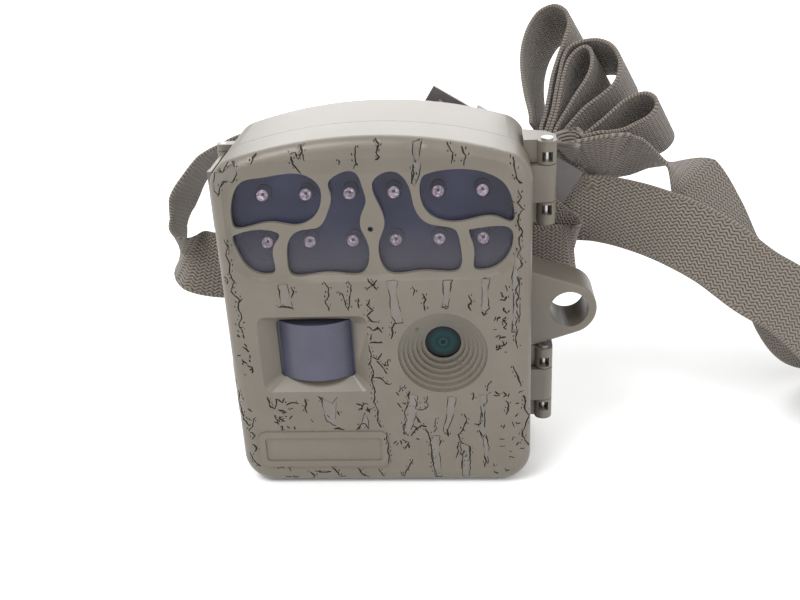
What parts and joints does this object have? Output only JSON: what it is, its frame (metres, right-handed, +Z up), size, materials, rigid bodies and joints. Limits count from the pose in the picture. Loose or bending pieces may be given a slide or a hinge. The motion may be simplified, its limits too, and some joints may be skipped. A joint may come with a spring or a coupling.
{
  "type": "trail camera",
  "caption": "Outdoor trail camera with a bark-moulded cover on a side hinge, flash window, heat sensor and lens, latches, lock ear, battery bay and a webbing strap with a cam buckle.",
  "frame": {"origin": "centre of the tripod socket's mouth in the base", "axes": "+X to the right seen from the front, +Y from the lens to the back, +Z up"},
  "size_m": [0.2845, 0.141, 0.1451],
  "materials": {
    "shell": "fine moulded grain",
    "panel": "fine grain",
    "black_plastic": "smooth",
    "window": "clear dark pane",
    "lamp_epoxy": "clear, polished",
    "board": "solder mask",
    "sensor_lens": "milky, faceted inside",
    "can_steel": "plated",
    "pin_steel": "bright",
    "lens_glass": "coated",
    "chip": "polished",
    "screen": "polished",
    "key_rubber": "matt",
    "card": "plain",
    "seal_rubber": "matt",
    "insert_brass": "turned",
    "cell_jacket": "plain wrapped",
    "spring_wire": "nickel plated",
    "buckle": "satin",
    "strap": "woven webbing"
  },
  "bodies": {
    "housing": {"rear_shell": "shell", "gasket": "seal_rubber", "hinge_pin_lower": "pin_steel", "hinge_pin_upper": "pin_steel", "latch_pin_lower": "pin_steel", "latch_pin_upper": "pin_steel", "tripod_insert": "insert_brass", "power_jack": "black_plastic", "battery_tray": "panel", "tray_screws": "pin_steel", "battery_cells": "cell_jacket", "battery_springs": "spring_wire", "contact_plates": "spring_wire", "buckle_frame": "buckle", "buckle_pin": "pin_steel", "strap": "strap"},
    "cover": {"front_shell": "shell", "ir_window": "window", "led_holder": "black_plastic", "ir_leds": "lamp_epoxy", "led_board": "board", "pir_lens": "sensor_lens", "pir_sensor": "can_steel", "lens_glass": "lens_glass", "lens_holder": "black_plastic", "lens_barrel": "black_plastic", "image_sensor": "chip", "main_board": "board", "inner_panel": "panel", "panel_screws": "pin_steel", "lcd_screen": "screen", "key_domes": "can_steel", "switch_case": "can_steel", "sd_socket": "can_steel", "usb_socket": "can_steel"},
    "key_ok": {"key_ok": "key_rubber"},
    "key_left": {"key_left": "key_rubber"},
    "key_right": {"key_right": "key_rubber"},
    "key_up": {"key_up": "key_rubber"},
    "key_down": {"key_down": "key_rubber"},
    "mode_switch": {"mode_switch": "black_plastic"},
    "sd_card": {"sd_card": "card"},
    "latch_lower": {"latch_lower": "shell"},
    "latch_upper": {"latch_upper": "shell"},
    "jack_plug": {"jack_plug": "seal_rubber"},
    "buckle_cam": {"buckle_cam": "buckle"}
  },
  "joints": [
    {"name": "cover_hinge", "type": "hinge", "parent": "housing", "child": "cover", "pos_m": [0.0564, -0.006, 0.0676], "axis": [0, 0, 1], "range_deg": [0, 94]},
    {"name": "key_ok_press", "type": "slide", "parent": "cover", "child": "key_ok", "axis": [0, -1, 0], "range_m": [0, 0.0005], "stiffness_N_per_m": 600},
    {"name": "key_left_press", "type": "slide", "parent": "cover", "child": "key_left", "axis": [0, -1, 0], "range_m": [0, 0.0005], "stiffness_N_per_m": 600},
    {"name": "key_right_press", "type": "slide", "parent": "cover", "child": "key_right", "axis": [0, -1, 0], "range_m": [0, 0.0005], "stiffness_N_per_m": 600},
    {"name": "key_up_press", "type": "slide", "parent": "cover", "child": "key_up", "axis": [0, -1, 0], "range_m": [0, 0.0005], "stiffness_N_per_m": 600},
    {"name": "key_down_press", "type": "slide", "parent": "cover", "child": "key_down", "axis": [0, -1, 0], "range_m": [0, 0.0005], "stiffness_N_per_m": 600},
    {"name": "mode_switch_slide", "type": "slide", "parent": "cover", "child": "mode_switch", "axis": [1, 0, 0], "range_m": [-0.002, 0.002]},
    {"name": "card_slide", "type": "slide", "parent": "cover", "child": "sd_card", "axis": [1, 0, 0], "range_m": [0, 0.0145]},
    {"name": "latch_lower_hinge", "type": "hinge", "parent": "housing", "child": "latch_lower", "pos_m": [-0.0536, 0.012, 0.0325], "axis": [0, 0, -1], "range_deg": [0, 100]},
    {"name": "latch_upper_hinge", "type": "hinge", "parent": "housing", "child": "latch_upper", "pos_m": [-0.0536, 0.012, 0.1035], "axis": [0, 0, -1], "range_deg": [0, 100]},
    {"name": "plug_slide", "type": "slide", "parent": "housing", "child": "jack_plug", "axis": [0, 0, -1], "range_m": [0, 0.005]},
    {"name": "cam_hinge", "type": "hinge", "parent": "housing", "child": "buckle_cam", "pos_m": [0.038, 0.0443, 0.0975], "axis": [-0.5299, 0, -0.848], "range_deg": [0, 100]}
  ]
}
